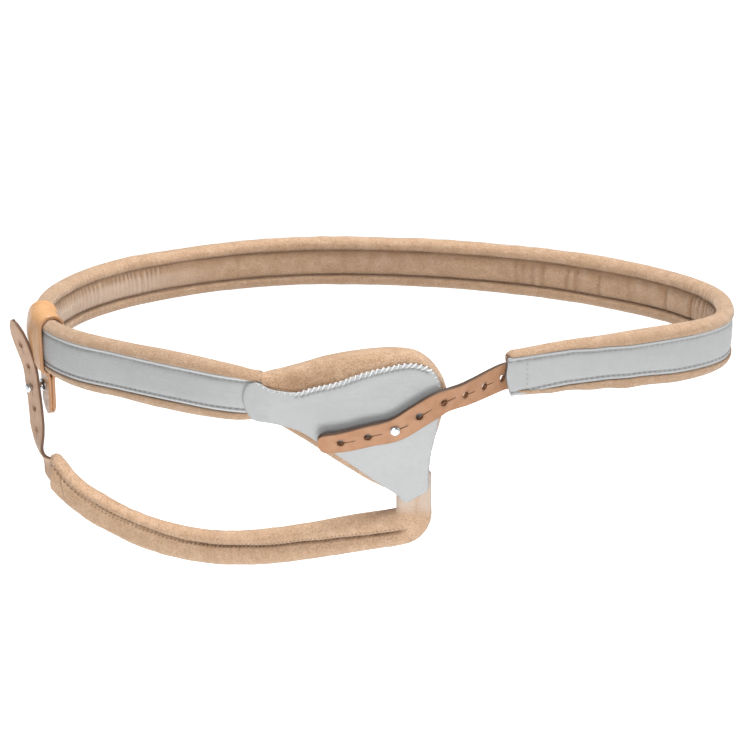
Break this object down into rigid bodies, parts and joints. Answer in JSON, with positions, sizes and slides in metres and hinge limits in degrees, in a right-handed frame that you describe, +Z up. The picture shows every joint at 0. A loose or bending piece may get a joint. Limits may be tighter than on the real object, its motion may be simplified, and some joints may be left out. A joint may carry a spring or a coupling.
{
  "type": "hernia belt",
  "caption": "One-sided groin hernia belt: padded hip belt with leather facing, triangular pad, buttoned front strap and padded thigh strap.",
  "frame": {"origin": "middle of the hollow inside the hip belt, at the belt's mid height, where the wearer's hips are", "axes": "+Z up as worn, -Y the wearer's front, +X the wearer's left, -X the side of the pad, the leather loop and the thigh strap"},
  "size_m": [0.3905, 0.246, 0.1345],
  "materials": {
    "velour": "napped beige velour",
    "white_leather": "white, lightly grained, satin",
    "tan_leather": "tan, matt",
    "loop_leather": "light tan, smooth",
    "pale_leather": "pale, matt",
    "stud_chrome": "polished"
  },
  "bodies": {
    "root": {"belt_sleeve": "velour", "belt_cover": "white_leather", "pad_cushion": "velour", "pad_cover": "white_leather", "front_strap": "tan_leather", "front_stud": "stud_chrome", "slider_loop": "loop_leather", "slider_stud": "stud_chrome", "thigh_strap": "pale_leather", "thigh_tube": "velour"}
  },
  "joints": []
}
